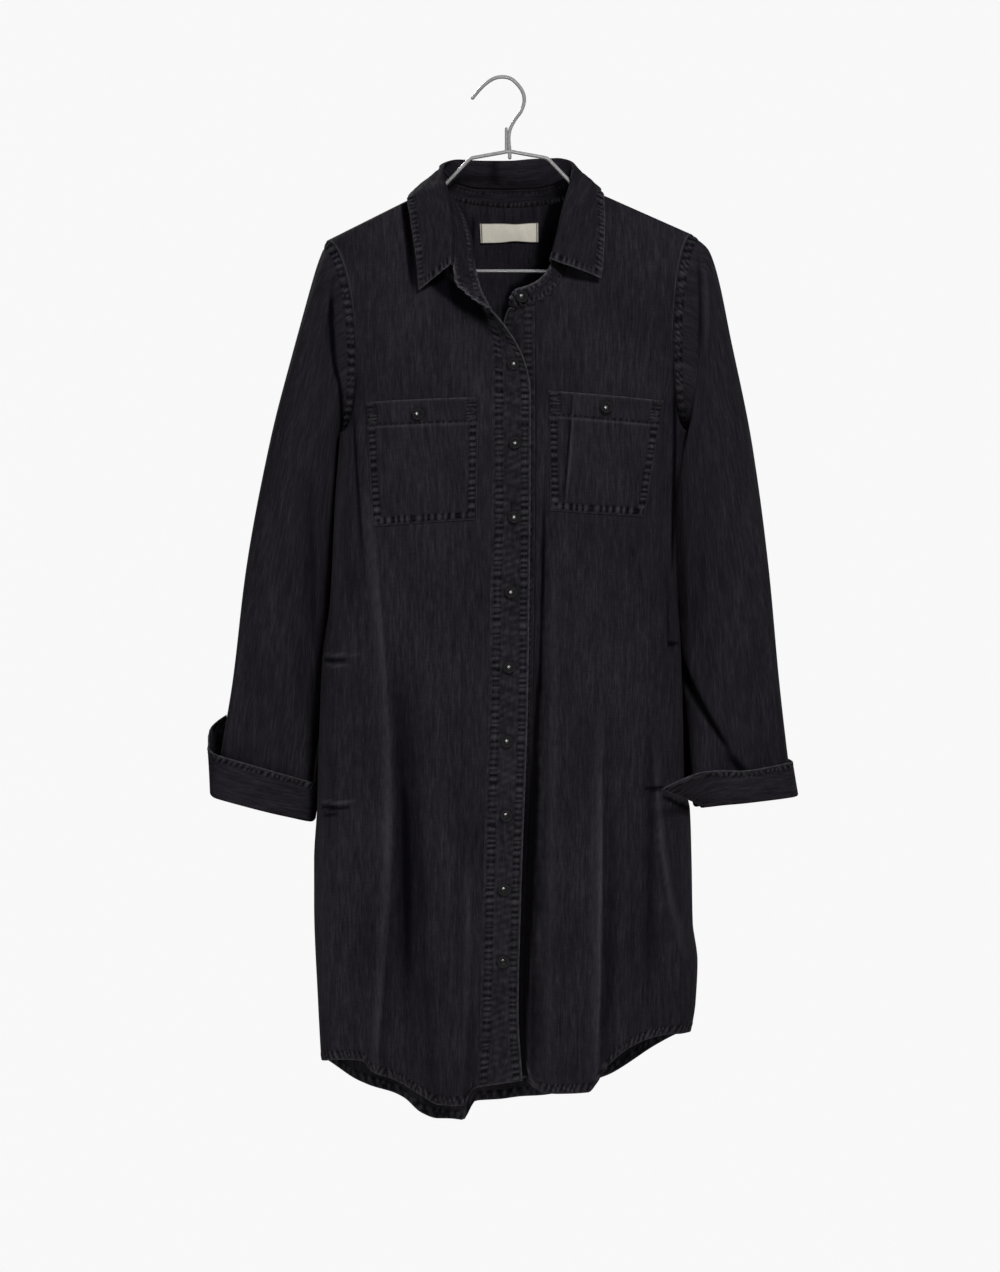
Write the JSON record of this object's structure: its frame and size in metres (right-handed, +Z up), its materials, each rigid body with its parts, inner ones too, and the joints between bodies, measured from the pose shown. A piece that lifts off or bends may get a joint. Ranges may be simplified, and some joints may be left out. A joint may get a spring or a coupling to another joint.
{
  "type": "shirt dress on a wire hanger",
  "caption": "Knee-length button-front shirt dress in washed black denim, cuffs turned back, hanging on a plain wire hanger.",
  "frame": {"origin": "underside of the hanger's hook, where it rests on a nail or rail", "axes": "+Z up; the dress faces -Y; +X is the wearer's left"},
  "size_m": [0.6065, 0.1354, 1.0838],
  "materials": {
    "denim": "washed black denim",
    "button": "polished",
    "label": "woven",
    "wire": "satin"
  },
  "bodies": {
    "root": {"front_right": "denim", "front_left": "denim", "back": "denim", "sleeve_right": "denim", "sleeve_left": "denim", "cuff_right": "denim", "cuff_left": "denim", "collar": "denim", "collar_stand": "denim", "placket_right": "denim", "placket_left": "denim", "pocket_right": "denim", "pocket_left": "denim", "label": "label", "button_1": "button", "button_2": "button", "button_3": "button", "button_4": "button", "button_5": "button", "button_6": "button", "button_7": "button", "button_8": "button", "button_9": "button", "button_stand": "button", "button_pocket_right": "button", "button_pocket_left": "button", "hanger": "wire"}
  },
  "joints": []
}
